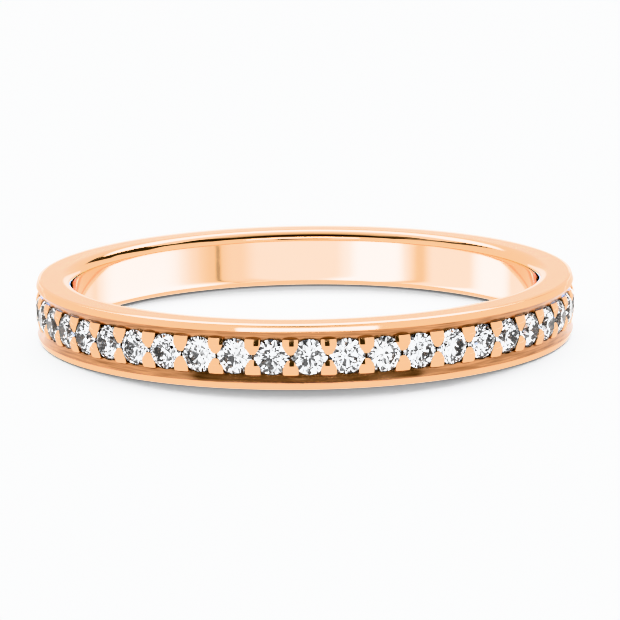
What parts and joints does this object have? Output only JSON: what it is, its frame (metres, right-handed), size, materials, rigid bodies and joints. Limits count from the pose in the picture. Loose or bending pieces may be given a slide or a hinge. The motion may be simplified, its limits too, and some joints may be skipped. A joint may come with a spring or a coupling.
{
  "type": "wedding band",
  "caption": "Slim rose gold eternity band, bead set all the way round with a single channel of small round brilliant diamonds.",
  "frame": {"origin": "centre of the finger hole, on the band's axis and at half of its width", "axes": "+Z along the band's axis, so the band lies flat; -Y points at the middle of diamond_01"},
  "size_m": [0.0204, 0.0204, 0.0024],
  "materials": {
    "rose_gold": "high polish",
    "diamond": "faceted and polished"
  },
  "bodies": {
    "root": {"band": "rose_gold", "diamond_01": "diamond", "diamond_02": "diamond", "diamond_03": "diamond", "diamond_04": "diamond", "diamond_05": "diamond", "diamond_06": "diamond", "diamond_07": "diamond", "diamond_08": "diamond", "diamond_09": "diamond", "diamond_10": "diamond", "diamond_11": "diamond", "diamond_12": "diamond", "diamond_13": "diamond", "diamond_14": "diamond", "diamond_15": "diamond", "diamond_16": "diamond", "diamond_17": "diamond", "diamond_18": "diamond", "diamond_19": "diamond", "diamond_20": "diamond", "diamond_21": "diamond", "diamond_22": "diamond", "diamond_23": "diamond", "diamond_24": "diamond", "diamond_25": "diamond", "diamond_26": "diamond", "diamond_27": "diamond", "diamond_28": "diamond", "diamond_29": "diamond", "diamond_30": "diamond", "diamond_31": "diamond", "diamond_32": "diamond", "diamond_33": "diamond", "diamond_34": "diamond", "diamond_35": "diamond", "diamond_36": "diamond", "diamond_37": "diamond", "diamond_38": "diamond", "diamond_39": "diamond", "diamond_40": "diamond", "diamond_41": "diamond", "diamond_42": "diamond", "diamond_43": "diamond", "diamond_44": "diamond", "diamond_45": "diamond", "diamond_46": "diamond", "diamond_47": "diamond", "diamond_48": "diamond"}
  },
  "joints": []
}
